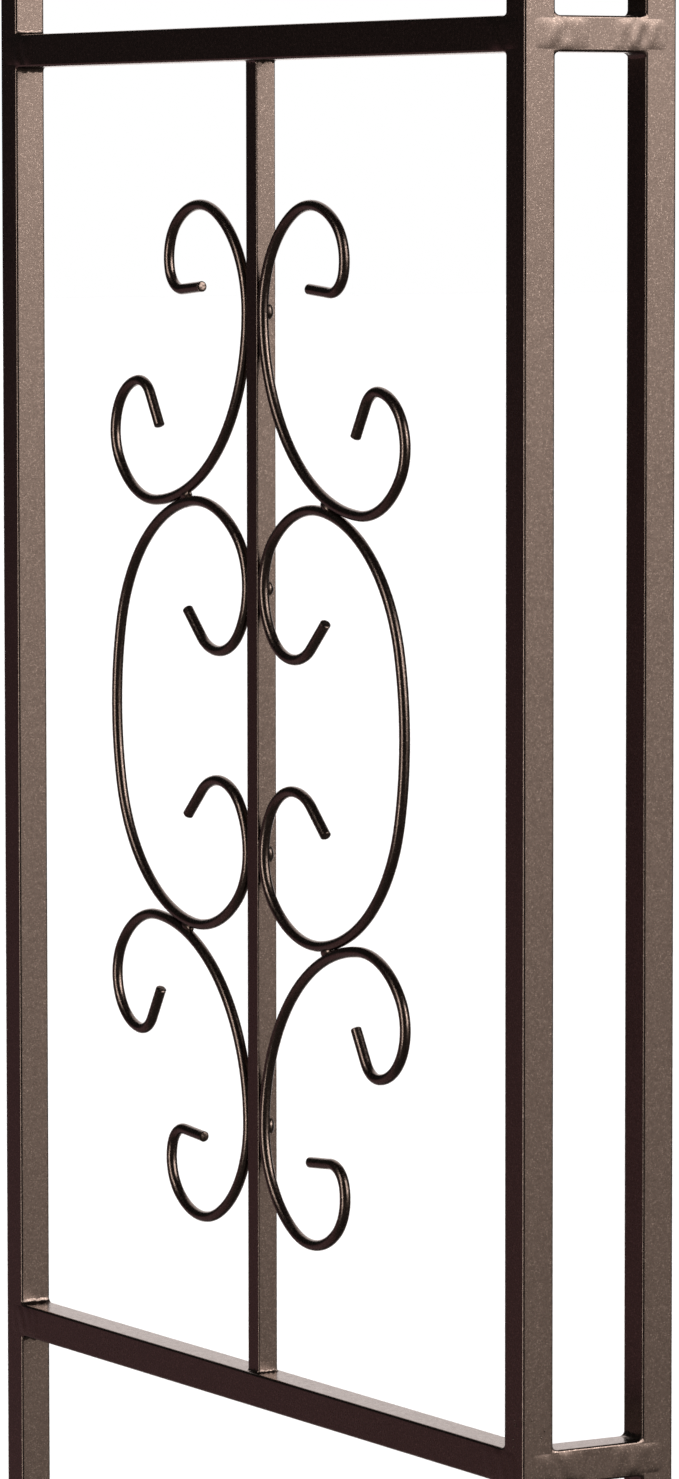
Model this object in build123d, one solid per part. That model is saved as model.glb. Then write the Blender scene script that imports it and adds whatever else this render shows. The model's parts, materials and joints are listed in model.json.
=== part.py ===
from build123d import *
import os

# Garden trellis arch of welded square tube with bent-rod scrollwork in its sides.
# Millimetres. Origin on the ground under the middle of the arch; +X to the right,
# +Y from the twin-rail front to the single-rail rear, +Z up.

# Overall sizes
arch_width = 1400.0         # over the outer faces of the outer posts
arch_depth = 765.0          # over the front and rear posts
panel_base_height = 350.0   # ground to the underside of the bottom rails
panel_clear_height = 966.0  # between the bottom and the top rails
leg_above_panel = 200.0     # top of the top rails to where the arch starts to curve
twin_gap = 73.7             # clear gap between the two front rails

# Tube and rod sections
post_size = 25.0
post_corner = 1.8
bar_size = 16.0
bar_corner = 1.0
tube_wall = 1.2
smallest_bore_corner = 0.3
rod_diameter = 8.0
rod_setback = 3.5           # post's outer face to the rods' outer side
arch_rib_angles = (24.0, 48.0, 72.0)  # degrees above the start of the curve

# Foot plates
plate_thickness = 4.0
plate_depth = 60.0
plate_corner = 5.0
plate_overhang = 30.0       # beyond the post, along X
plate_hole_inset = 15.0     # hole centre from the end of the plate
plate_hole_radius = 4.5

# Knock-down joints: a sleeve inside the tubes, held by one screw on each side of the seam
tail_length = 60.0          # straight end of each arch rail, below the curve
sleeve_length = 100.0
sleeve_wall = 1.5
sleeve_corner = 1.0
sleeve_clearance = 0.3      # each side
crown_sleeve_angle = 4.0    # degrees each side of the crown
screw_radius = 3.0
screw_hole_radius = 3.3
head_radius = 5.5
head_height = 3.3
head_dome_radius = 2.3
socket_across_flats = 4.0
socket_depth = 2.0
nut_across_flats = 10.0
nut_height = 5.0
thread_past_nut = 1.5
plug_length = 15.0
plug_corner = 0.4
plug_clearance = 0.1        # each side

# Scroll bends, from the point where a rod is welded to the centre bar outwards,
# each (centreline radius, degrees of bend), and then the straight end of the rod.
end_curl_bends = [(81.0, 64.0), (54.0, 66.5), (35.0, 64.5), (19.0, 79.5)]
end_curl_straight = 28.7
outer_curl_bends = [(143.0, 87.5), (66.0, 57.0), (39.0, 120.5), (20.0, 64.0)]
outer_curl_straight = 27.1
middle_bow_bends = [(50.0, 46.0), (85.0, 51.0), (127.0, 70.0), (267.0, 13.0)]
middle_curl_bends = [(57.0, 37.0), (40.0, 79.0), (32.0, 17.0)]
middle_curl_straight = 28.1

# Derived places
outer_x = -arch_width / 2
outer_post_x = outer_x + post_size / 2
inner_post_x = outer_post_x + post_size + twin_gap
front_y = -arch_depth / 2 + post_size / 2
rear_y = -front_y
bottom_rail_z = panel_base_height + post_size / 2
top_rail_z = bottom_rail_z + post_size + panel_clear_height
panel_middle_z = (bottom_rail_z + top_rail_z) / 2
spring_z = top_rail_z + post_size / 2 + leg_above_panel
seam_z = spring_z - tail_length
sleeve_size = post_size - 2 * (tube_wall + sleeve_clearance)
plug_size = bar_size - 2 * (tube_wall + plug_clearance)
contact_x = (bar_size + rod_diameter) / 2  # a rod's centre from the bar's, where they touch
joint_screw_angle = crown_sleeve_angle / 2
joint_screw_offset = sleeve_length / 4
cutter_length = 2 * post_size
touch_tolerance = 0.001


def tube_profile(size, wall, corner):
    """Cross-section of a square tube with rounded corners."""
    bore_corner = max(corner - wall, smallest_bore_corner)
    bore_size = size - 2 * wall
    return RectangleRounded(size, size, corner) - RectangleRounded(bore_size, bore_size, bore_corner)


def tube_along(start, end, size, corner):
    """Straight square tube between two points, its sides square to the frame."""
    run = Vector(*end) - Vector(*start)
    across = Vector(1, 0, 0) if run.Y else Vector(0, 1, 0)
    section = Plane(origin=start, x_dir=across, z_dir=run.normalized())
    return extrude(section * tube_profile(size, tube_wall, corner), run.length)


def cross_hole(x, y, z):
    """Cutter for a screw hole that runs front to rear through one post."""
    return Pos(x, y, z) * Rot(90, 0, 0) * Cylinder(screw_hole_radius, cutter_length)


def arch_axis(y):
    """Axis that the arch curves about."""
    return Axis((0, y, spring_z), (0, 1, 0))


def spin_about_arch(shape, y, angle):
    """Turns a shape from the left start of the curve up to an angle along the arch."""
    return shape.rotate(arch_axis(y), angle)


# ---- side panels -----------------------------------------------------------------

def bent_branch(start, heading, bends, straight, turn):
    """Edges of one end of a scroll: tangent arcs and a straight end."""
    edges = []
    for radius, degrees in bends:
        arc = JernArc(start, heading, radius, turn * degrees)
        edges.append(arc)
        start = arc @ 1
        heading = arc % 1
    if straight:
        edges.append(Line(start, start + heading * straight))
    return edges


def rod_solid(edges):
    """Round rod swept along the edges."""
    path = Wire(edges)
    section = Plane(path ^ 0) * Circle(rod_diameter / 2)
    return sweep(section, path=path)


def end_scroll_edges(contact_height):
    """S-shaped rod above the middle scroll; x is the distance from the bar's middle."""
    start = Vector(contact_x, contact_height)
    up = bent_branch(start, Vector(0, 1), end_curl_bends, end_curl_straight, -1)
    down = bent_branch(start, Vector(0, -1), outer_curl_bends, outer_curl_straight, 1)
    return up + down


def middle_scroll_edges():
    """C-shaped rod, the same above and below the middle of the panel."""
    bow = bent_branch(Vector(contact_x, 0), Vector(0, 1), middle_bow_bends, 0, -1)
    contact = Vector(contact_x, -(bow[-1] @ 1).Y)
    upper = bent_branch(contact, Vector(0, 1), middle_bow_bends, 0, -1)
    upper += bent_branch(contact, Vector(0, -1), middle_curl_bends, middle_curl_straight, 1)
    return upper + [edge.mirror(Plane.XZ) for edge in upper]


def touching_height(middle_edges):
    """Height of the end scroll's weld at which it just touches the middle scroll."""
    middle = Wire(middle_edges)
    low = 0.0
    high = panel_clear_height / 2
    while high - low > touch_tolerance:
        height = (low + high) / 2
        if Wire(end_scroll_edges(height)).distance_to(middle) < rod_diameter:
            low = height
        else:
            high = height
    return high


def make_scrolls():
    """The six scrolls of the left side, front and rear of its centre bar."""
    middle_edges = middle_scroll_edges()
    middle = rod_solid(middle_edges)
    upper = rod_solid(end_scroll_edges(touching_height(middle_edges)))
    shapes = {"upper": upper, "middle": middle, "lower": upper.mirror(Plane.XZ)}
    rod_x = outer_x + rod_setback + rod_diameter / 2
    scrolls = {}
    for name, shape in shapes.items():
        for side, outwards in (("front", -1), ("rear", 1)):
            panel = Plane(origin=(rod_x, 0, panel_middle_z), x_dir=(0, outwards, 0), z_dir=(outwards, 0, 0))
            scrolls[f"scroll_{name}_{side}"] = panel.location * shape
    return scrolls


def make_panel():
    """Rails, centre bar and scrolls of the left side."""
    rail_start = front_y + post_size / 2
    rail_end = rear_y - post_size / 2
    panel = {}
    for name, z in (("panel_bottom_rail", bottom_rail_z), ("panel_top_rail", top_rail_z)):
        start = (outer_post_x, rail_start, z)
        end = (outer_post_x, rail_end, z)
        panel[name] = tube_along(start, end, post_size, post_corner)
    bar_start = (outer_post_x, 0, bottom_rail_z + post_size / 2)
    bar_end = (outer_post_x, 0, top_rail_z - post_size / 2)
    panel["panel_centre_bar"] = tube_along(bar_start, bar_end, bar_size, bar_corner)
    panel.update(make_scrolls())
    return panel


# ---- legs ------------------------------------------------------------------------

def make_post(x, y):
    """Upright post from its foot plate to the seam below the arch."""
    post = tube_along((x, y, plate_thickness), (x, y, seam_z), post_size, post_corner)
    return post - cross_hole(x, y, seam_z - joint_screw_offset)


def foot_plate(low_x, high_x, y):
    """Flat plate under one or two posts, with a fixing hole near each end."""
    length = high_x - low_x + 2 * plate_overhang
    middle_x = (low_x + high_x) / 2
    hole_x = length / 2 - plate_hole_inset
    outline = RectangleRounded(length, plate_depth, plate_corner)
    holes = Pos(-hole_x, 0) * Circle(plate_hole_radius) + Pos(hole_x, 0) * Circle(plate_hole_radius)
    return Pos(middle_x, y, 0) * extrude(outline - holes, plate_thickness)


def make_leg():
    """The left leg: three posts, their front rungs, foot plates and the side panel."""
    inner_face = inner_post_x + post_size / 2
    leg = {
        "outer_front_post": make_post(outer_post_x, front_y),
        "inner_front_post": make_post(inner_post_x, front_y),
        "rear_post": make_post(outer_post_x, rear_y),
        "front_foot_plate": foot_plate(outer_x, inner_face, front_y),
        "rear_foot_plate": foot_plate(outer_x, outer_x + post_size, rear_y),
    }
    rung_start = outer_post_x + post_size / 2
    rung_end = inner_post_x - post_size / 2
    for name, z in (("front_bottom_rung", bottom_rail_z), ("front_top_rung", top_rail_z)):
        leg[name] = tube_along((rung_start, front_y, z), (rung_end, front_y, z), post_size, post_corner)
    leg.update(make_panel())
    return leg


# ---- arch ------------------------------------------------------------------------

def arch_rail(x, y):
    """Left half of an arch rail: a straight tail and a quarter circle to the crown."""
    section = Pos(x, y, spring_z) * tube_profile(post_size, tube_wall, post_corner)
    curve = revolve(section, axis=arch_axis(y), revolution_arc=90)
    rail = curve + extrude(section, -tail_length)
    rail -= cross_hole(x, y, seam_z + joint_screw_offset)
    return rail - spin_about_arch(cross_hole(x, y, spring_z), y, 90 - joint_screw_angle)


def drill_for_ribs(rail, y):
    """Holes through an outer arch rail where the rib screws pass."""
    for angle in arch_rib_angles:
        rail -= spin_about_arch(cross_hole(outer_post_x, y, spring_z), y, angle)
    return rail


def arch_rung(angle):
    """Short radial tube between the two front rails, its ends fitted to both curves."""
    inner_radius = -(inner_post_x - post_size / 2)
    outer_radius = -(outer_post_x + post_size / 2)
    start = (-outer_radius - post_size, front_y, spring_z)
    end = (-inner_radius + post_size, front_y, spring_z)
    rung = tube_along(start, end, post_size, post_corner)
    ring = Cylinder(outer_radius, cutter_length) - Cylinder(inner_radius, cutter_length)
    rung = rung & (Pos(0, front_y, spring_z) * Rot(90, 0, 0) * ring)
    return spin_about_arch(rung, front_y, angle)


def arch_rib(angle):
    """Square bar that ties the outer front rail to the rear rail."""
    start = (outer_post_x, front_y + post_size / 2, spring_z)
    end = (outer_post_x, rear_y - post_size / 2, spring_z)
    return spin_about_arch(tube_along(start, end, bar_size, bar_corner), 0, angle)


def make_arch():
    """Left half of the arch."""
    arch = {
        "front_outer_arch_rail": drill_for_ribs(arch_rail(outer_post_x, front_y), front_y),
        "front_inner_arch_rail": arch_rail(inner_post_x, front_y),
        "rear_arch_rail": drill_for_ribs(arch_rail(outer_post_x, rear_y), rear_y),
    }
    for number, angle in enumerate(arch_rib_angles, 1):
        arch[f"arch_rung_{number}"] = arch_rung(angle)
        arch[f"arch_rib_{number}"] = arch_rib(angle)
    return arch


# ---- joints ----------------------------------------------------------------------

def seam_columns():
    """Centre of each left post at its seam, and which way its screw heads face."""
    return [(outer_post_x, front_y, -1), (inner_post_x, front_y, -1), (outer_post_x, rear_y, 1)]


def make_post_sleeves():
    """Square sleeves that join the left posts to their arch rails."""
    sleeves = []
    for x, y, _ in seam_columns():
        profile = tube_profile(sleeve_size, sleeve_wall, sleeve_corner)
        section = Pos(x, y, seam_z - sleeve_length / 2) * profile
        sleeve = extrude(section, sleeve_length)
        for offset in (-joint_screw_offset, joint_screw_offset):
            sleeve -= cross_hole(x, y, seam_z + offset)
        sleeves.append(sleeve)
    return sleeves


def make_crown_sleeves():
    """Curved sleeves that join the two halves of each arch rail."""
    sleeves = []
    for x, y, _ in seam_columns():
        section = Pos(x, y, spring_z) * tube_profile(sleeve_size, sleeve_wall, sleeve_corner)
        sleeve = revolve(section, axis=arch_axis(y), revolution_arc=2 * crown_sleeve_angle)
        sleeve = spin_about_arch(sleeve, y, 90 - crown_sleeve_angle)
        for angle in (90 - joint_screw_angle, 90 + joint_screw_angle):
            sleeve -= spin_about_arch(cross_hole(x, y, spring_z), y, angle)
        sleeves.append(sleeve)
    return sleeves


def domed_head():
    """Domed screw head that stands on the XY plane."""
    head = Cylinder(head_radius, head_height, align=(Align.CENTER, Align.CENTER, Align.MIN))
    return fillet(head.edges().sort_by(Axis.Z)[-1], head_dome_radius)


def screw(shank_length):
    """Screw whose head stands on the XY plane and whose shank runs down from it."""
    shank = Cylinder(screw_radius, shank_length, align=(Align.CENTER, Align.CENTER, Align.MAX))
    hexagon = RegularPolygon(socket_across_flats / 2, 6, major_radius=False)
    socket = extrude(Pos(0, 0, head_height) * hexagon, -socket_depth)
    return domed_head() + shank - socket


def nut():
    """Hexagon nut that stands on the XY plane."""
    body = extrude(RegularPolygon(nut_across_flats / 2, 6, major_radius=False), nut_height)
    return body - Cylinder(screw_radius, cutter_length)


def facing(x, y, z, outwards):
    """Frame on a post's front (-1) or rear (+1) face, its Z pointing away from the post."""
    return Plane(origin=(x, y, z), x_dir=(1, 0, 0), z_dir=(0, outwards, 0)).location


def left_joint_fasteners():
    """Screws and nuts of the left seams, and of the crown joints left of the middle."""
    bolt = screw(post_size + nut_height + thread_past_nut)
    bolts = []
    nuts = []
    for x, y, outwards in seam_columns():
        head_y = y + outwards * post_size / 2
        nut_y = y - outwards * post_size / 2
        for offset in (-joint_screw_offset, joint_screw_offset):
            bolts.append(facing(x, head_y, seam_z + offset, outwards) * bolt)
            nuts.append(facing(x, nut_y, seam_z + offset, -outwards) * nut())
        crown = 90 - joint_screw_angle
        bolts.append(spin_about_arch(facing(x, head_y, spring_z, outwards) * bolt, y, crown))
        nuts.append(spin_about_arch(facing(x, nut_y, spring_z, -outwards) * nut(), y, crown))
    return bolts, nuts


def left_rib_fasteners():
    """Screws through the outer arch rails and the threaded plugs in the ends of the ribs."""
    bolt = screw(post_size + plug_length)
    blank = extrude(RectangleRounded(plug_size, plug_size, plug_corner), -plug_length)
    plug = blank - Cylinder(screw_radius, cutter_length)
    bolts = []
    plugs = []
    for y, outwards in ((front_y, -1), (rear_y, 1)):
        head_y = y + outwards * post_size / 2
        seat_y = y - outwards * post_size / 2
        for angle in arch_rib_angles:
            at_head = facing(outer_post_x, head_y, spring_z, outwards) * bolt
            at_seat = facing(outer_post_x, seat_y, spring_z, outwards) * plug
            bolts.append(spin_about_arch(at_head, y, angle))
            plugs.append(spin_about_arch(at_seat, y, angle))
    return bolts, plugs


# ---- assembly --------------------------------------------------------------------

def mirrored(shapes):
    """A list of left-hand solids and their right-hand twins."""
    return shapes + [shape.mirror(Plane.YZ) for shape in shapes]


def make_parts():
    parts = {}
    for name, shape in {**make_leg(), **make_arch()}.items():
        parts[f"left_{name}"] = shape
        parts[f"right_{name}"] = shape.mirror(Plane.YZ)
    joint_screws, joint_nuts = left_joint_fasteners()
    rib_screws, rib_plugs = left_rib_fasteners()
    parts["post_sleeves"] = Compound(mirrored(make_post_sleeves()))
    parts["crown_sleeves"] = Compound(make_crown_sleeves())
    parts["joint_screws"] = Compound(mirrored(joint_screws))
    parts["joint_nuts"] = Compound(mirrored(joint_nuts))
    parts["rib_screws"] = Compound(mirrored(rib_screws))
    parts["rib_plugs"] = Compound(mirrored(rib_plugs))
    return parts


os.makedirs("parts", exist_ok=True)
for node, solid in make_parts().items():
    export_step(solid, f"parts/{node}.step")
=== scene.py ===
import json
import math
import random

import bmesh
import bpy
from mathutils import Matrix, Vector
from mathutils.kdtree import KDTree


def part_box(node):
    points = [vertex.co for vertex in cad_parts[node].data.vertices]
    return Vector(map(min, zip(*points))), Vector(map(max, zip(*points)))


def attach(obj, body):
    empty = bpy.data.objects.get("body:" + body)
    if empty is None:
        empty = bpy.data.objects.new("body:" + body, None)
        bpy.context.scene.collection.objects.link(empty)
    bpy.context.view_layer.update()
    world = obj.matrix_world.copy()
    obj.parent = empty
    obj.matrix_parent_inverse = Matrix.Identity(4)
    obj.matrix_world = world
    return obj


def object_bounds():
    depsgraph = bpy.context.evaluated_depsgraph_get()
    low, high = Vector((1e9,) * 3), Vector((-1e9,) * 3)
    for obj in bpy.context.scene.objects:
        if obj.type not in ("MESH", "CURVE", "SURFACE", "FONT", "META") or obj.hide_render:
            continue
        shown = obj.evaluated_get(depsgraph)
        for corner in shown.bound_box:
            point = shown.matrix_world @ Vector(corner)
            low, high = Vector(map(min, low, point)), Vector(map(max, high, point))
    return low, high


# Metal garden trellis arch: a welded square-tube frame with bent-rod scrolls, in dark
# bronze powder coat. The frame's own tubes and rods keep their shapes and get their
# coating here; the welds that hold them together are built here as pieces of their own.

MM = 0.001
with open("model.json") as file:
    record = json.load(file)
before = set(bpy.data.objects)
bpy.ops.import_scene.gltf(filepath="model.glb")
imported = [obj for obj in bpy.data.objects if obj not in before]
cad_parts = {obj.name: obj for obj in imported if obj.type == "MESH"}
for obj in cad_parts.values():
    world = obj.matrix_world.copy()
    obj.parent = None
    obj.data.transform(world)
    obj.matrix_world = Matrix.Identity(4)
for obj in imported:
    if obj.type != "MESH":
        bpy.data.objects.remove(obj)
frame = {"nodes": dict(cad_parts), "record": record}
cad_low, cad_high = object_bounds()
nodes = frame["nodes"]
SIDES = {"left": 1.0, "right": -1.0}


# ---- camera ----------------------------------------------------------------------

FOCAL_IMAGE_HEIGHTS = 4.6261       # focal length, in heights of the image
SENSOR_HEIGHT = 24.0
CAMERA_YAW = math.radians(30.557)  # turned right of straight on
CAMERA_PITCH = math.radians(4.667)  # looking down
CAMERA_ROLL = math.radians(-0.054)
CAMERA_OFFSET = Vector((-2.4870, -3.9638, 0.0))  # from the left front corner post
EYE_ABOVE_BOTTOM_RAIL = 0.9032
CLIP_END = 200.0


def make_camera():
    """Camera at eye height, off the left front corner."""
    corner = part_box("left_outer_front_post")[0]
    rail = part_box("left_panel_bottom_rail")[0]
    data = bpy.data.cameras.new("camera")
    data.sensor_fit = "VERTICAL"
    data.sensor_height = SENSOR_HEIGHT
    data.lens = FOCAL_IMAGE_HEIGHTS * SENSOR_HEIGHT
    data.clip_end = CLIP_END
    camera = bpy.data.objects.new("camera", data)
    bpy.context.scene.collection.objects.link(camera)
    place = Vector((corner.x, corner.y, 0.0)) + CAMERA_OFFSET
    place.z = rail.z + EYE_ABOVE_BOTTOM_RAIL
    tilt = Matrix.Rotation(math.pi / 2 - CAMERA_PITCH, 4, "X")
    turn = Matrix.Rotation(-CAMERA_YAW, 4, "Z") @ tilt
    camera.matrix_world = Matrix.Translation(place) @ turn @ Matrix.Rotation(CAMERA_ROLL, 4, "Z")
    bpy.context.scene.camera = camera


# ---- studio ----------------------------------------------------------------------

# Soft panels around the object: heading (degrees from +Y towards +X) from and to,
# elevation from and to, softness of their edges, brightness, and colour.
STUDIO_PANELS = [
    ("backdrop", 9.0, 62.0, -30.0, 60.0, 6.0, 1.40, (1.0, 0.91, 0.885)),
    ("key_softbox", 137.0, 170.0, 4.1, 38.0, 5.0, 11.0, (1.0, 1.0, 1.0)),
    ("key_glow", 134.0, 172.0, -12.0, 4.0, 8.0, 1.32, (1.0, 0.95, 0.90)),
    ("fill_strip", 258.0, 276.0, -20.0, 38.0, 4.0, 7.5, (1.0, 0.98, 0.96)),
    ("warm_glow", 300.0, 356.0, -90.0, -3.0, 1.4, 0.18, (1.0, 0.46, 0.56)),
    ("floor_glow", -180.0, 540.0, -90.0, -10.0, 8.0, 0.09, (1.0, 0.90, 0.86)),
]
STUDIO_DARK = 0.03
OVERHEAD_STRENGTH = 2.2
OVERHEAD_SPREAD = math.radians(70)
FLOOR_HALF_SIZE = 60.0
FLOOR_GREY = 0.82
FLOOR_ROUGHNESS = 0.9


def add_node(tree, kind, **settings):
    node = tree.nodes.new(kind)
    for name, value in settings.items():
        setattr(node, name, value)
    return node


def math_node(tree, operation, first, second=None):
    node = add_node(tree, "ShaderNodeMath", operation=operation)
    for socket, value in zip(node.inputs, (first, second)):
        if value is None:
            continue
        if isinstance(value, (int, float)):
            socket.default_value = value
        else:
            tree.links.new(value, socket)
    return node.outputs[0]


def smooth_step(tree, value, start, end):
    """0 below start, 1 above end, and a soft change between them."""
    node = add_node(tree, "ShaderNodeMapRange", interpolation_type="SMOOTHSTEP")
    tree.links.new(value, node.inputs["Value"])
    node.inputs["From Min"].default_value = start
    node.inputs["From Max"].default_value = end
    return node.outputs["Result"]


def soft_window(tree, value, low, high, soft):
    rise = smooth_step(tree, value, low - soft, low + soft)
    fall = smooth_step(tree, value, high - soft, high + soft)
    return math_node(tree, "MULTIPLY", rise, math_node(tree, "SUBTRACT", 1.0, fall))


def make_world():
    """White surroundings for the eye, and soft panels on dark for light and reflections."""
    world = bpy.data.worlds.new("studio")
    bpy.context.scene.world = world
    world.use_nodes = True
    tree = world.node_tree
    tree.nodes.clear()
    direction = add_node(tree, "ShaderNodeTexCoord").outputs["Generated"]
    split = add_node(tree, "ShaderNodeSeparateXYZ")
    tree.links.new(direction, split.inputs[0])
    around = math_node(tree, "ARCTAN2", split.outputs["X"], split.outputs["Y"])
    heading = math_node(tree, "MULTIPLY", around, 180.0 / math.pi)
    rise = math_node(tree, "ARCSINE", split.outputs["Z"])
    elevation = math_node(tree, "MULTIPLY", rise, 180.0 / math.pi)
    total = None
    for _, low, high, bottom, top, soft, strength, colour in STUDIO_PANELS:
        half_width = (high - low) / 2
        offset = math_node(tree, "SUBTRACT", heading, (low + high) / 2)
        wrapped = math_node(tree, "PINGPONG", offset, 180.0)
        beyond = smooth_step(tree, wrapped, half_width - soft, half_width + soft)
        across = math_node(tree, "SUBTRACT", 1.0, beyond)
        up = soft_window(tree, elevation, bottom, top, soft)
        panel = add_node(tree, "ShaderNodeVectorMath", operation="SCALE")
        panel.inputs[0].default_value = colour
        inside = math_node(tree, "MULTIPLY", across, up)
        strength_there = math_node(tree, "MULTIPLY", inside, strength)
        tree.links.new(strength_there, panel.inputs["Scale"])
        added = add_node(tree, "ShaderNodeVectorMath", operation="ADD")
        added.inputs[0].default_value = (STUDIO_DARK,) * 3
        if total is not None:
            tree.links.new(total, added.inputs[0])
        tree.links.new(panel.outputs["Vector"], added.inputs[1])
        total = added.outputs["Vector"]
    lit = add_node(tree, "ShaderNodeBackground")
    tree.links.new(total, lit.inputs["Color"])
    seen = add_node(tree, "ShaderNodeBackground")
    seen.inputs["Color"].default_value = (1.0, 1.0, 1.0, 1.0)
    choice = add_node(tree, "ShaderNodeMixShader")
    tree.links.new(add_node(tree, "ShaderNodeLightPath").outputs["Is Camera Ray"], choice.inputs[0])
    tree.links.new(lit.outputs[0], choice.inputs[1])
    tree.links.new(seen.outputs[0], choice.inputs[2])
    output = add_node(tree, "ShaderNodeOutputWorld")
    tree.links.new(choice.outputs[0], output.inputs["Surface"])
    bpy.context.scene.view_settings.view_transform = "Standard"


def make_floor():
    """Plain pale floor that the arch stands on, and a wide soft light above it."""
    mesh = bpy.data.meshes.new("floor")
    signs = [(-1, -1), (1, -1), (1, 1), (-1, 1)]
    corners = [(x * FLOOR_HALF_SIZE, y * FLOOR_HALF_SIZE, cad_low[2]) for x, y in signs]
    mesh.from_pydata(corners, [], [(0, 1, 2, 3)])
    floor = bpy.data.objects.new("floor", mesh)
    bpy.context.scene.collection.objects.link(floor)
    material = bpy.data.materials.new("floor_pale")
    material.use_nodes = True
    shader = material.node_tree.nodes["Principled BSDF"]
    shader.inputs["Base Color"].default_value = grey(FLOOR_GREY)
    shader.inputs["Roughness"].default_value = FLOOR_ROUGHNESS
    shader.inputs["Specular IOR Level"].default_value = 0.0
    mesh.materials.append(material)
    floor.visible_glossy = False
    data = bpy.data.lights.new("overhead", "SUN")
    data.energy = OVERHEAD_STRENGTH
    data.angle = OVERHEAD_SPREAD
    overhead = bpy.data.objects.new("overhead", data)
    overhead.visible_glossy = False
    bpy.context.scene.collection.objects.link(overhead)


# ---- materials -------------------------------------------------------------------

COAT_DARK = (0.076, 0.054, 0.044, 1)
COAT_LIGHT = (0.100, 0.072, 0.059, 1)
COAT_FLECK = (0.24, 0.18, 0.15, 1)
SCREW_DARK = (0.050, 0.036, 0.030, 1)
SCREW_LIGHT = (0.070, 0.052, 0.044, 1)
SCREW_FLECK = (0.20, 0.16, 0.14, 1)
ZINC_DARK = (0.50, 0.51, 0.52, 1)
ZINC_LIGHT = (0.68, 0.68, 0.66, 1)
FLECKS_PER_METRE = 2300.0
FLECK_SHARE = (0.90, 0.99)         # a cell's random number where a fleck starts and is full
PEEL_WAVE = 1.4                    # the peel's long waves against its fine ones
ROUGHNESS_SPREAD = 0.05
PEEL_DEPTH = 0.25 * MM
ZINC_DEPTH = 0.2 * MM


def object_noise(tree, scale, detail, roughness=0.5):
    """Noise fixed to the object, its scale in waves per metre."""
    place = add_node(tree, "ShaderNodeTexCoord").outputs["Object"]
    noise = add_node(tree, "ShaderNodeTexNoise")
    tree.links.new(place, noise.inputs["Vector"])
    noise.inputs["Scale"].default_value = scale
    noise.inputs["Detail"].default_value = detail
    noise.inputs["Roughness"].default_value = roughness
    return noise.outputs["Fac"]


def ramp(tree, value, stops):
    node = add_node(tree, "ShaderNodeValToRGB")
    tree.links.new(value, node.inputs["Fac"])
    elements = node.color_ramp.elements
    for element, (place, colour) in zip(elements, (stops[0], stops[-1])):
        element.position = place
        element.color = colour
    for place, colour in stops[1:-1]:
        elements.new(place).color = colour
    return node.outputs["Color"]


def grey(level):
    return (level, level, level, 1.0)


def make_powder_coat(name, dark, light, fleck, roughness, relief, peel_scale):
    """Satin powder coat: a dark metallic brown with fine pale flecks and orange peel.

    relief is how strong the peel is and peel_scale how fine, in waves per metre.
    """
    material = bpy.data.materials.new(name)
    material.use_nodes = True
    tree = material.node_tree
    shader = tree.nodes["Principled BSDF"]
    shader.inputs["Metallic"].default_value = 1.0
    shader.inputs["Coat Weight"].default_value = 0.08
    shader.inputs["Coat Roughness"].default_value = 0.22
    shader.inputs["Coat IOR"].default_value = 1.5

    cloud = object_noise(tree, 700.0, 3.0, 0.5)
    tint = ramp(tree, cloud, [(0.25, dark), (0.75, light)])
    cells = add_node(tree, "ShaderNodeTexVoronoi")
    cells.inputs["Scale"].default_value = FLECKS_PER_METRE
    place = add_node(tree, "ShaderNodeTexCoord").outputs["Object"]
    tree.links.new(place, cells.inputs["Vector"])
    lottery = add_node(tree, "ShaderNodeSeparateColor")
    tree.links.new(cells.outputs["Color"], lottery.inputs[0])
    chosen = smooth_step(tree, lottery.outputs["Red"], *FLECK_SHARE)
    mix = add_node(tree, "ShaderNodeMix", data_type="RGBA")
    tree.links.new(chosen, mix.inputs["Factor"])
    tree.links.new(tint, mix.inputs["A"])
    mix.inputs["B"].default_value = fleck
    tree.links.new(mix.outputs["Result"], shader.inputs["Base Color"])

    grain = object_noise(tree, 420.0, 2.0)
    smoothest = grey(roughness - ROUGHNESS_SPREAD)
    roughest = grey(roughness + ROUGHNESS_SPREAD)
    rough = ramp(tree, grain, [(0.3, smoothest), (0.7, roughest)])
    tree.links.new(rough, shader.inputs["Roughness"])

    peel = object_noise(tree, peel_scale, 2.0, 0.5)
    wave = object_noise(tree, 70.0, 1.0)
    height = math_node(tree, "ADD", peel, math_node(tree, "MULTIPLY", wave, PEEL_WAVE))
    bump = add_node(tree, "ShaderNodeBump")
    bump.inputs["Strength"].default_value = relief
    bump.inputs["Distance"].default_value = PEEL_DEPTH
    tree.links.new(height, bump.inputs["Height"])
    tree.links.new(bump.outputs["Normal"], shader.inputs["Normal"])
    return material


def make_zinc(name):
    """Bright zinc plating with a faint spangle and rub marks."""
    material = bpy.data.materials.new(name)
    material.use_nodes = True
    tree = material.node_tree
    shader = tree.nodes["Principled BSDF"]
    shader.inputs["Metallic"].default_value = 1.0
    spangle = ramp(tree, object_noise(tree, 160.0, 3.0), [(0.3, ZINC_DARK), (0.7, ZINC_LIGHT)])
    tree.links.new(spangle, shader.inputs["Base Color"])
    rough = ramp(tree, object_noise(tree, 300.0, 2.0), [(0.3, grey(0.26)), (0.7, grey(0.42))])
    tree.links.new(rough, shader.inputs["Roughness"])
    bump = add_node(tree, "ShaderNodeBump")
    bump.inputs["Strength"].default_value = 0.15
    bump.inputs["Distance"].default_value = ZINC_DEPTH
    tree.links.new(object_noise(tree, 700.0, 2.0), bump.inputs["Height"])
    tree.links.new(bump.outputs["Normal"], shader.inputs["Normal"])
    return material


def dress_nodes(materials):
    """Gives every node of the frame the material of its slot."""
    slots = {part["node"]: part["material_slot"] for part in frame["record"]["subparts"]}
    for name, node in nodes.items():
        for place in node.material_slots:
            place.material = materials[slots[name]]


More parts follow.
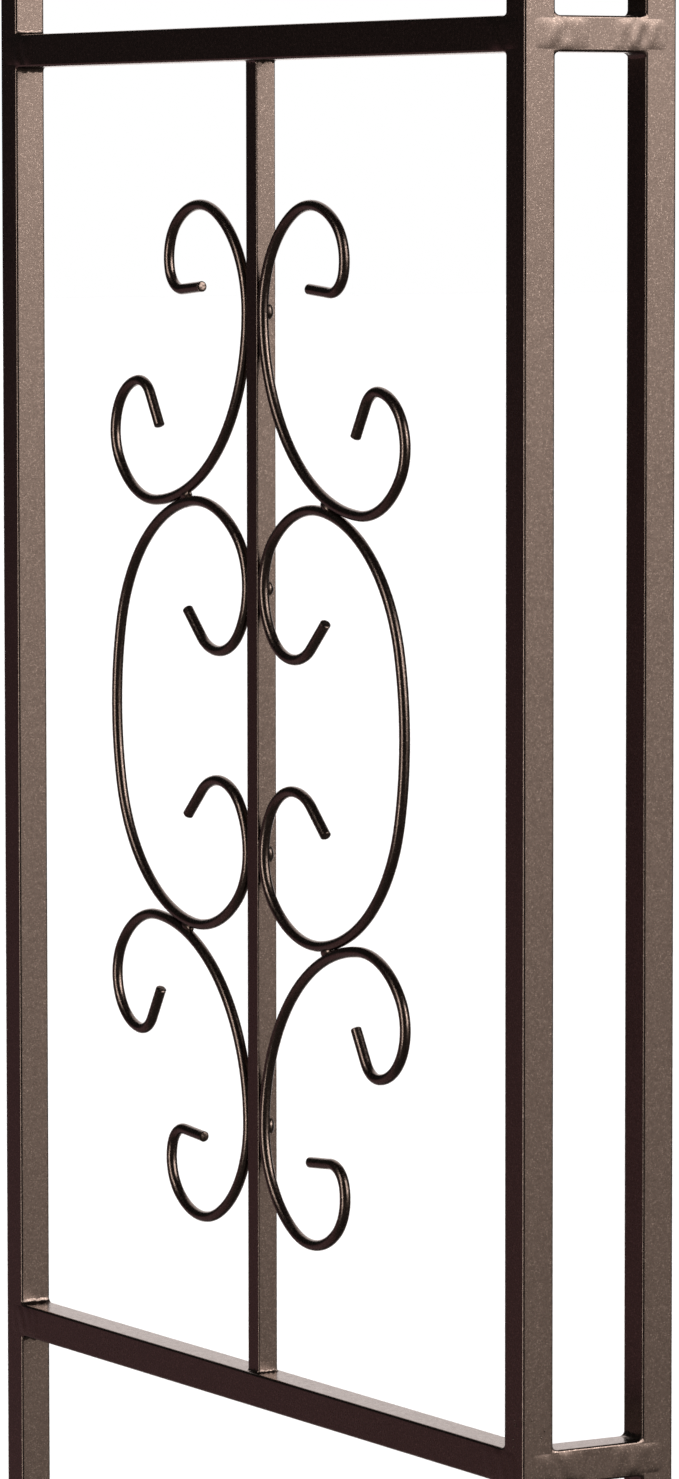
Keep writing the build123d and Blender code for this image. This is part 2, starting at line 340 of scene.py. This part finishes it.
# ---- weld pieces -----------------------------------------------------------------

def new_piece(name, points, faces, material):
    """Smooth mesh piece that belongs to the coated frame."""
    mesh = bpy.data.meshes.new(name)
    mesh.from_pydata(points, [], faces)
    shape = bmesh.new()
    shape.from_mesh(mesh)
    bmesh.ops.recalc_face_normals(shape, faces=shape.faces)
    shape.to_mesh(mesh)
    shape.free()
    mesh.polygons.foreach_set("use_smooth", [True] * len(mesh.polygons))
    mesh.materials.append(material)
    piece = bpy.data.objects.new(name, mesh)
    bpy.context.scene.collection.objects.link(piece)
    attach(piece, "root")
    return piece


def wander(rng, count, strength, waves):
    """Smooth closed random curve, one value for each of count places."""
    values = [0.0] * count
    for number in waves:
        phase = rng.uniform(0, 2 * math.pi)
        size = strength * rng.uniform(0.4, 1.0) / len(waves)
        for i in range(count):
            values[i] += size * math.sin(2 * math.pi * number * i / count + phase)
    return values


def square_outline(half, corner, per_side, per_corner):
    """Places round a rounded square: (y, z, angle of the outward normal from +z towards +y)."""
    places = []
    for quarter in range(4):
        turn = quarter * math.pi / 2
        cos = math.cos(turn)
        sin = math.sin(turn)
        flat = half - corner
        for i in range(per_side):
            along = flat * (2 * i / per_side - 1)
            places.append((cos * along + sin * half, -sin * along + cos * half, turn))
        for i in range(per_corner):
            angle = turn + math.pi / 2 * i / per_corner
            y = cos * flat + sin * flat + corner * math.sin(angle)
            z = -sin * flat + cos * flat + corner * math.cos(angle)
            places.append((y, z, angle))
    return places


FILLET_STEPS = 8
OUTLINE_PER_SIDE = 14
OUTLINE_PER_CORNER = 7
COLLAR_SWELL = 2.2 * MM            # lumpiness of a collar along its seam
REACH_SWELL = 0.9                  # share of it in the collar's width
BEND_SWELL = 0.35                  # and in its thickness
FLUSH_RISE = 0.04 * MM             # where it is ground flat
FLUSH_SWELL = 0.05 * MM
SINK = 0.03 * MM                   # a collar's edges, into the tubes
BURY = 0.8 * MM                    # its closed back, under the tubes' surfaces
PAD_RISE = 0.30 * MM
PAD_SINK = 0.04 * MM
PAD_RELIEF = 0.50 * MM
PAD_WAVES = 5
PAD_LENGTH = 46.0 * MM
PAD_SHIFT = 5.0 * MM               # towards the tube that ends at the weld


def weld_collar(name, origin, away, up, half, corner, leg, dressed, material, rng):
    """Weld round the end of a square tube that butts against another.

    origin is the middle of the tube's end, away its direction and up the direction of the
    tube it meets. Above and below it is a hollow fillet; at the front and back, where the
    two tubes are flush, dressed is how far the weld is ground flat on each side of the seam,
    or None where the tube stands on a wide face and has a fillet all round.
    """
    side = away.cross(up)
    outline = square_outline(half, corner, OUTLINE_PER_SIDE, OUTLINE_PER_CORNER)
    count = len(outline)
    swell = wander(rng, count, COLLAR_SWELL, (5, 8, 13, 17, 21))
    crown = wander(rng, count, FLUSH_SWELL, (2, 3, 5, 7))
    rings = [[] for _ in range(FILLET_STEPS + 4)]
    for i, (y, z, angle) in enumerate(outline):
        flush = 0.0 if dressed is None else math.sin(angle) ** 2
        ny = math.sin(angle)
        nz = math.cos(angle)
        reach = leg + REACH_SWELL * swell[i]
        on_tube = Vector((reach * (1 - flush) + (dressed or 0.0) * flush, y, z))
        if dressed is None:
            on_host = Vector((0.0, y + ny * reach, z + nz * reach))
            inward = Vector((-1.0, 0.0, 0.0))
        else:
            x = -(corner + dressed) * flush
            inside = max(0.0, min(1.0, (x + corner) / corner))
            y_host = half - corner + corner * math.sqrt(1 - inside ** 2)
            if flush < 1e-6:
                y_host = abs(y)
            spread = reach * nz if abs(nz) > 1e-6 else 0.0
            z_host = z + spread + 0.5 * reach * (z / half) * flush
            on_host = Vector((x, math.copysign(y_host, y), z_host))
            inward = Vector((-(1 - flush), -ny * flush, 0.0)).normalized()
        lift = (crown[i] + FLUSH_RISE) * flush
        bend = Vector((0.5 * (on_tube.x + on_host.x) * flush, y + ny * lift, z + nz * lift))
        bend += Vector((0.0, ny, nz)) * max(0.0, swell[i]) * BEND_SWELL * (1 - flush)
        on_tube -= Vector((0.0, ny, nz)) * SINK
        on_host += inward * SINK
        for step in range(FILLET_STEPS + 1):
            t = step / FILLET_STEPS
            point = on_tube * (1 - t) ** 2 + bend * 2 * t * (1 - t) + on_host * t ** 2
            rings[step].append(point)
        rings[FILLET_STEPS + 1].append(on_host + inward * BURY)
        rings[FILLET_STEPS + 2].append(Vector((on_host.x - BURY, y - ny * BURY, z - nz * BURY)))
        rings[FILLET_STEPS + 3].append(Vector((on_tube.x, y - ny * BURY, z - nz * BURY)))
    points = []
    for ring in rings:
        points += [origin + away * p.x + side * p.y + up * p.z for p in ring]
    faces = []
    total = len(rings)
    for r in range(total):
        here = r * count
        after = (r + 1) % total * count
        for i in range(count):
            j = (i + 1) % count
            faces.append((here + i, here + j, after + j, after + i))
    return new_piece(name, points, faces, material)


def dressed_pad(name, centre, along, across, length, width, material, rng):
    """Low, softly uneven patch where a flush weld is ground down; it feathers into the face."""
    out = along.cross(across)
    across_count = 22
    along_count = 46
    waves = []
    for _ in range(PAD_WAVES):
        waves.append((rng.uniform(0.22, 0.50) / MM, rng.uniform(-0.22, 0.22) / MM,
                      rng.uniform(0, 2 * math.pi), rng.uniform(0.4, 1.0)))
    points = []
    for j in range(across_count + 1):
        v = 2 * j / across_count - 1
        for i in range(along_count + 1):
            u = 2 * i / along_count - 1
            x = u * length / 2
            y = v * width / 2
            ripples = [size * math.sin(fx * x + fy * y + phase) for fx, fy, phase, size in waves]
            relief = sum(ripples) / PAD_WAVES
            edge = (1 - u ** 4) * (1 - v ** 4)
            fade = (1 - u * u) ** 2 * (1 - v ** 4)
            height = PAD_RISE * edge + PAD_RELIEF * relief * fade - PAD_SINK
            points.append(centre + along * x + across * y + out * height)
    faces = []
    row = along_count + 1
    for j in range(across_count):
        for i in range(along_count):
            a = j * row + i
            faces.append((a, a + 1, a + row + 1, a + row))
    return new_piece(name, points, faces, material)


BEAD_RIPPLE = 0.12


def weld_bead(name, centre, along, size, material, rng):
    """Lump of weld: a rounded blob with small random swellings.

    size is its length, width and depth.
    """
    shape = bmesh.new()
    bmesh.ops.create_icosphere(shape, subdivisions=4, radius=1.0)
    phases = []
    for _ in range(6):
        axis = Vector([rng.uniform(-1, 1) for _ in range(3)]).normalized()
        phases.append((axis, rng.uniform(2, 5), rng.uniform(0, 6)))
    along = along.normalized()
    side = along.orthogonal().normalized()
    depth = along.cross(side)
    points = []
    for vertex in shape.verts:
        p = vertex.co.copy()
        ripple = sum(math.sin(f * p.dot(axis) + phase) for axis, f, phase in phases) / len(phases)
        p *= 1 + BEAD_RIPPLE * ripple
        across = side * p.y * size[1] / 2
        points.append(centre + along * p.x * size[0] / 2 + across + depth * p.z * size[2] / 2)
    faces = [[v.index for v in face.verts] for face in shape.faces]
    shape.free()
    return new_piece(name, points, faces, material)


def vertices(node):
    return [v.co.copy() for v in nodes[node].data.vertices]


def nearest_pair(first, second):
    """Middle of the shortest gap between two nodes."""
    others = vertices(second)
    tree = KDTree(len(others))
    for i, point in enumerate(others):
        tree.insert(point, i)
    tree.balance()
    pairs = ((tree.find(point), point) for point in vertices(first))
    found, point = min(pairs, key=lambda pair: pair[0][2])
    return (found[0] + point) / 2


def box_middle(node):
    low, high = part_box(node)
    return (low + high) / 2


POST_HALF = 12.5 * MM
POST_CORNER = 1.8 * MM
BAR_HALF = 8.0 * MM
BAR_CORNER = 1.0 * MM
PAD_INSET = 0.8                    # of the corner's radius
SPATTER_STEP = 26                  # mm above or below the middle of the weld
SPATTER_REACH = 12 * MM
SPATTER_FLATNESS = 0.7
TUBE_LEG = 4.2 * MM
BAR_LEG = 2.0 * MM
FOOT_LEG = 3.5 * MM
DRESSED = 6.0 * MM
X_AXIS = Vector((1, 0, 0))
Y_AXIS = Vector((0, 1, 0))
Z_AXIS = Vector((0, 0, 1))


def weld_tube_ends(node, axis, up, half, corner, leg, dressed, material, smooth, rng):
    """A weld collar on both ends of a straight tube, with dressed faces where it is flush.

    material is the collar's and the spatter's, smooth the dressed faces'.
    """
    low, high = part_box(node)
    middle = (low + high) / 2
    for label, sign, end in (("start", 1.0, low), ("end", -1.0, high)):
        origin = middle + axis * (end - middle).dot(axis)
        away = axis * sign
        weld_collar(f"weld_{node}_{label}", origin, away, up, half, corner, leg, dressed, material, rng)
        if dressed is None:
            continue
        for number, across in enumerate((up, -up)):
            out = away.cross(across)
            centre = origin + out * half + away * PAD_SHIFT
            name = f"dressed_{node}_{label}_{number}"
            width = 2 * (half - PAD_INSET * corner)
            dressed_pad(name, centre, away, across, PAD_LENGTH, width, smooth, rng)
            step = up * rng.choice((-SPATTER_STEP, SPATTER_STEP)) * MM
            around = origin + out * half - away * POST_HALF + step
            name = f"spatter_{node}_{label}_{number}"
            spatter(name, around, up, away, SPATTER_REACH, rng.randint(2, 5), material, rng)


def spatter(name, centre, along, across, reach, count, material, rng):
    """Small beads of weld metal scattered over a flat face, partly sunk into it."""
    out = along.cross(across)
    points = []
    faces = []
    ball = bmesh.new()
    bmesh.ops.create_icosphere(ball, subdivisions=2, radius=1.0)
    for _ in range(count):
        radius = rng.uniform(0.4, 0.9) * MM
        place = centre + along * rng.gauss(0, reach / 2) + across * rng.uniform(-8, 8) * MM
        start = len(points)
        for vertex in ball.verts:
            bead = vertex.co
            spread = (along * bead.x + across * bead.y) * radius
            points.append(place + spread + out * bead.z * radius * SPATTER_FLATNESS)
        faces += [[start + corner.index for corner in face.verts] for face in ball.faces]
    ball.free()
    return new_piece(name, points, faces, material)


def weld_legs(material, smooth, rng):
    """Welds of both sides' rails, rungs, centre bars and feet."""
    for side in SIDES:
        for level in ("bottom", "top"):
            rail = f"{side}_panel_{level}_rail"
            rung = f"{side}_front_{level}_rung"
            for tube, axis in ((rail, Y_AXIS), (rung, X_AXIS)):
                weld_tube_ends(tube, axis, Z_AXIS, POST_HALF, POST_CORNER, TUBE_LEG, DRESSED,
                               material, smooth, rng)
        bar = f"{side}_panel_centre_bar"
        weld_tube_ends(bar, Z_AXIS, X_AXIS, BAR_HALF, BAR_CORNER, BAR_LEG, None, material, smooth, rng)
        for post in ("outer_front_post", "inner_front_post", "rear_post"):
            low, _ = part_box(f"{side}_{post}")
            foot = box_middle(f"{side}_{post}")
            foot.z = low.z
            weld_collar(f"weld_{side}_{post}_foot", foot, Z_AXIS, X_AXIS, POST_HALF, POST_CORNER,
                        FOOT_LEG, None, material, rng)


ROD_RADIUS = 4.0 * MM
END_DOME = 0.9 * MM
END_SINK = 0.02 * MM
DISC_AREA = 0.8 * math.pi * ROD_RADIUS ** 2
SAME_PLANE = 0.999                 # cosine of the angle between neighbouring faces
END_REACH = 1.05 * ROD_RADIUS
END_RINGS = 9
END_SPOKES = 40
END_LEAN = 0.25


def rod_ends(node):
    """Middle and outward direction of each flat end of a bent rod."""
    shape = bmesh.new()
    shape.from_mesh(nodes[node].data)
    bmesh.ops.remove_doubles(shape, verts=shape.verts, dist=0.001 * MM)
    ends = []
    for seed in shape.faces:
        if seed.tag:
            continue
        seed.tag = True
        patch = [seed]
        for face in patch:
            for edge in face.edges:
                for other in edge.link_faces:
                    if not other.tag and other.normal.dot(face.normal) > SAME_PLANE:
                        other.tag = True
                        patch.append(other)
        area = sum(face.calc_area() for face in patch)
        if area < DISC_AREA:
            continue
        weighted = (face.calc_center_median() * face.calc_area() for face in patch)
        middle = sum(weighted, Vector()) / area
        reach = max((corner.co - middle).length for face in patch for corner in face.verts)
        if reach < END_REACH:
            out = sum((face.normal for face in patch), Vector()).normalized()
            ends.append((middle, out))
    shape.free()
    return ends


def end_cap(name, middle, out, material, rng):
    """Low dome over the flat end of a rod, leaning a little and uneven at its rim."""
    across = out.orthogonal().normalized()
    other = out.cross(across)
    lean = (rng.uniform(-END_LEAN, END_LEAN), rng.uniform(-END_LEAN, END_LEAN))
    edge = wander(rng, END_SPOKES, 0.25 * MM, (2, 3, 5))
    points = [middle + out * END_DOME]
    for ring in range(1, END_RINGS + 1):
        share = ring / END_RINGS
        fade = math.sqrt(max(0.0, 1 - share ** 4))
        for spoke in range(END_SPOKES):
            angle = 2 * math.pi * spoke / END_SPOKES
            u = math.cos(angle) * share
            v = math.sin(angle) * share
            height = END_DOME * fade * (1 + lean[0] * u + lean[1] * v)
            height += edge[spoke] * share * fade
            radius = ROD_RADIUS * 0.995 * share
            spoke_way = across * math.cos(angle) + other * math.sin(angle)
            points.append(middle + spoke_way * radius + out * (height - END_SINK))
    faces = [(0, 1 + spoke, 1 + (spoke + 1) % END_SPOKES) for spoke in range(END_SPOKES)]
    for ring in range(END_RINGS - 1):
        start = 1 + ring * END_SPOKES
        for spoke in range(END_SPOKES):
            after = (spoke + 1) % END_SPOKES
            faces.append((start + spoke, start + END_SPOKES + spoke,
                          start + END_SPOKES + after, start + after))
    return new_piece(name, points, faces, material)


def cap_rods(material, rng):
    """Rounded, slightly uneven coating over the cropped ends of the rods."""
    for side in SIDES:
        for end in ("front", "rear"):
            for rod in ("upper", "middle", "lower"):
                node = f"{side}_scroll_{rod}_{end}"
                for number, (middle, out) in enumerate(rod_ends(node)):
                    end_cap(f"end_{node}_{number}", middle, out, material, rng)


BAR_BEAD_IN = 8.6 * MM             # from the rods' outer side, in X
BAR_BEAD_OUT = 3.0 * MM            # from where the rod touches the bar, in Y
BAR_BEAD_WIDTH = 8.0 * MM
ROD_BEAD_SLOPE = 0.38
ROD_BEAD_SIZE = (14 * MM, 6.5 * MM, 7.5 * MM)


def weld_scrolls(material, rng):
    """Beads where the rods touch the bar, on its inner side, and where they touch each other."""
    for side, inwards in SIDES.items():
        for end, outwards in (("front", -1.0), ("rear", 1.0)):
            for rod in ("upper", "middle", "lower"):
                node = f"{side}_scroll_{rod}_{end}"
                low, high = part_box(node)
                points = vertices(node)
                halves = [points]
                if rod == "middle":
                    split = (low.z + high.z) / 2
                    upper = [p for p in points if p.z > split]
                    halves = [upper, [p for p in points if p.z <= split]]
                for number, half in enumerate(halves):
                    touch = min(half, key=lambda p: abs(p.y))
                    centre = Vector((low.x if inwards > 0 else high.x, touch.y, touch.z))
                    rise = rng.uniform(-2, 2) * MM
                    centre += Vector((inwards * BAR_BEAD_IN, outwards * BAR_BEAD_OUT, rise))
                    size = (rng.uniform(10, 13) * MM, BAR_BEAD_WIDTH, BAR_BEAD_WIDTH)
                    weld_bead(f"weld_{node}_bar_{number}", centre, Z_AXIS, size, material, rng)
            for rod in ("upper", "lower"):
                centre = nearest_pair(f"{side}_scroll_{rod}_{end}", f"{side}_scroll_middle_{end}")
                rise = -1.0 if rod == "upper" else 1.0
                along = Vector((0, outwards, rise * ROD_BEAD_SLOPE))
                weld_bead(f"weld_scroll_{side}_{rod}_{end}", centre, along, ROD_BEAD_SIZE, material, rng)


def main():
    make_camera()
    make_world()
    make_floor()
    coat_colours = (COAT_DARK, COAT_LIGHT, COAT_FLECK)
    screw_colours = (SCREW_DARK, SCREW_LIGHT, SCREW_FLECK)
    coat = make_powder_coat("powder_coat_bronze", *coat_colours, 0.27, 0.09, 850.0)
    weld_coat = make_powder_coat("weld_coat_bronze", *coat_colours, 0.30, 1.0, 420.0)
    screw_coat = make_powder_coat("screw_coat_bronze", *screw_colours, 0.30, 0.15, 850.0)
    zinc = make_zinc("zinc_plate")
    dress_nodes({"powder_coat": coat, "screw_finish": screw_coat, "zinc_steel": zinc})
    rng = random.Random(7)
    weld_legs(weld_coat, coat, rng)
    weld_scrolls(weld_coat, rng)
    cap_rods(coat, rng)


main()
